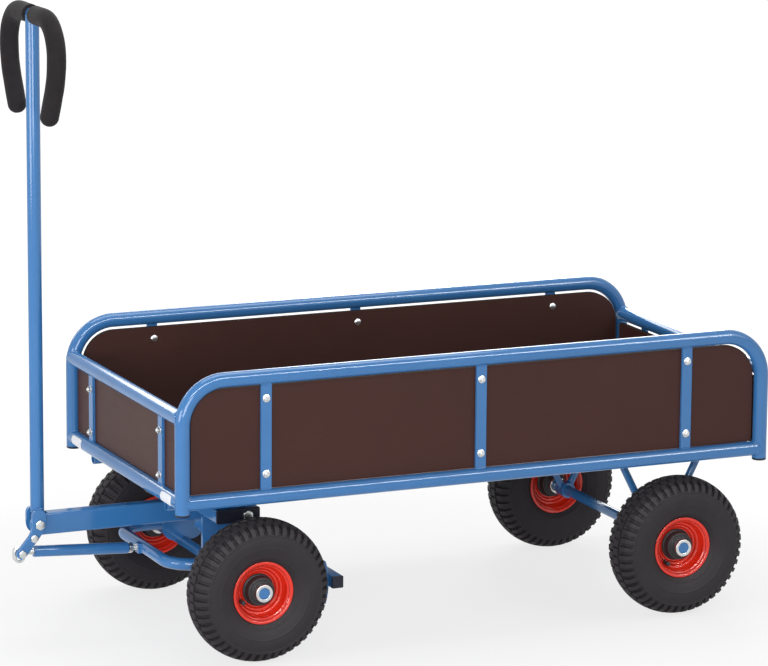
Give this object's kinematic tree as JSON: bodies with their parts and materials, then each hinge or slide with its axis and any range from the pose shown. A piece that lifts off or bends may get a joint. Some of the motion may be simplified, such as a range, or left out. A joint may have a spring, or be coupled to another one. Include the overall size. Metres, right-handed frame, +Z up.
{
  "type": "hand cart",
  "caption": "Steerable hand cart with a panelled tube-frame bed, pneumatic tyres and an upright drawbar whose lever works a bow brake on the front tyres.",
  "frame": {"origin": "on the floor under the middle of the whole cart", "axes": "+X forward to the drawbar, +Y to the cart's left, +Z up"},
  "size_m": [1.3776, 0.609, 1.155],
  "materials": {
    "blue_enamel": "gloss",
    "film_faced_plywood": "satin film",
    "zinc_plate": "bright zinc",
    "cap_plastic": "moulded",
    "foam_grip": "closed-cell foam",
    "tyre_rubber": "matt rubber",
    "red_enamel": "gloss",
    "hub_plastic": "moulded"
  },
  "bodies": {
    "bed": {"left_hoop": "blue_enamel", "right_hoop": "blue_enamel", "left_lower_rail": "blue_enamel", "right_lower_rail": "blue_enamel", "front_lower_crossbar": "blue_enamel", "rear_lower_crossbar": "blue_enamel", "front_upper_crossbar": "blue_enamel", "rear_upper_crossbar": "blue_enamel", "side_straps": "blue_enamel", "end_straps": "blue_enamel", "left_side_panel": "film_faced_plywood", "right_side_panel": "film_faced_plywood", "front_panel": "film_faced_plywood", "rear_panel": "film_faced_plywood", "floor_board": "film_faced_plywood", "floor_bearers": "blue_enamel", "turntable_plate": "blue_enamel", "kingpin": "blue_enamel", "rear_axle": "blue_enamel", "rear_axle_bosses": "blue_enamel", "rear_axle_struts": "blue_enamel", "hoop_end_caps": "cap_plastic", "panel_bolts": "zinc_plate", "panel_nuts": "zinc_plate", "rear_axle_collars": "zinc_plate"},
    "bogie": {"draw_beam": "blue_enamel", "bolster": "blue_enamel", "bolster_end_caps": "cap_plastic", "bolster_bolts": "zinc_plate", "slide_ring": "cap_plastic", "kingpin_sleeve": "blue_enamel", "axle_legs": "blue_enamel", "front_axle": "blue_enamel", "front_axle_collars": "zinc_plate", "brake_guides": "blue_enamel"},
    "drawbar": {"drawbar_tube": "blue_enamel", "lever_plates": "blue_enamel", "lever_bolts": "zinc_plate", "pivot_bolt": "zinc_plate", "handle_tube": "blue_enamel", "left_grip": "foam_grip", "right_grip": "foam_grip"},
    "brake": {"brake_bow": "blue_enamel", "brake_rod": "blue_enamel", "rod_stud": "zinc_plate", "brake_bar": "blue_enamel", "brake_shoes": "blue_enamel", "brake_bar_caps": "cap_plastic"},
    "front_left_wheel": {"front_left_tyre": "tyre_rubber", "front_left_rim": "red_enamel", "front_left_hub": "hub_plastic"},
    "front_right_wheel": {"front_right_tyre": "tyre_rubber", "front_right_rim": "red_enamel", "front_right_hub": "hub_plastic"},
    "rear_left_wheel": {"rear_left_tyre": "tyre_rubber", "rear_left_rim": "red_enamel", "rear_left_hub": "hub_plastic"},
    "rear_right_wheel": {"rear_right_tyre": "tyre_rubber", "rear_right_rim": "red_enamel", "rear_right_hub": "hub_plastic"}
  },
  "joints": [
    {"name": "steer", "type": "hinge", "parent": "bed", "child": "bogie", "pos_m": [0.32262, 0, 0.25], "axis": [0, 0, 1], "range_deg": [-45, 45]},
    {"name": "drawbar_tilt", "type": "hinge", "parent": "bogie", "child": "drawbar", "pos_m": [0.64563, 0, 0.2215], "axis": [0, 1, 0], "range_deg": [0, 58]},
    {"name": "brake_slide", "type": "slide", "parent": "bogie", "child": "brake", "axis": [1, 0, 0], "range_m": [-0.0594, 0]},
    {"name": "front_left_spin", "type": "hinge", "parent": "bogie", "child": "front_left_wheel", "pos_m": [0.32262, 0.262, 0.13], "axis": [0, 1, 0], "continuous": true},
    {"name": "front_right_spin", "type": "hinge", "parent": "bogie", "child": "front_right_wheel", "pos_m": [0.32262, -0.262, 0.13], "axis": [0, 1, 0], "continuous": true},
    {"name": "rear_left_spin", "type": "hinge", "parent": "bed", "child": "rear_left_wheel", "pos_m": [-0.51438, 0.262, 0.13], "axis": [0, 1, 0], "continuous": true},
    {"name": "rear_right_spin", "type": "hinge", "parent": "bed", "child": "rear_right_wheel", "pos_m": [-0.51438, -0.262, 0.13], "axis": [0, 1, 0], "continuous": true}
  ],
  "couplings": [
    {"joint": "brake_slide", "follows": "drawbar_tilt", "m_per_rad": -0.058469}
  ]
}
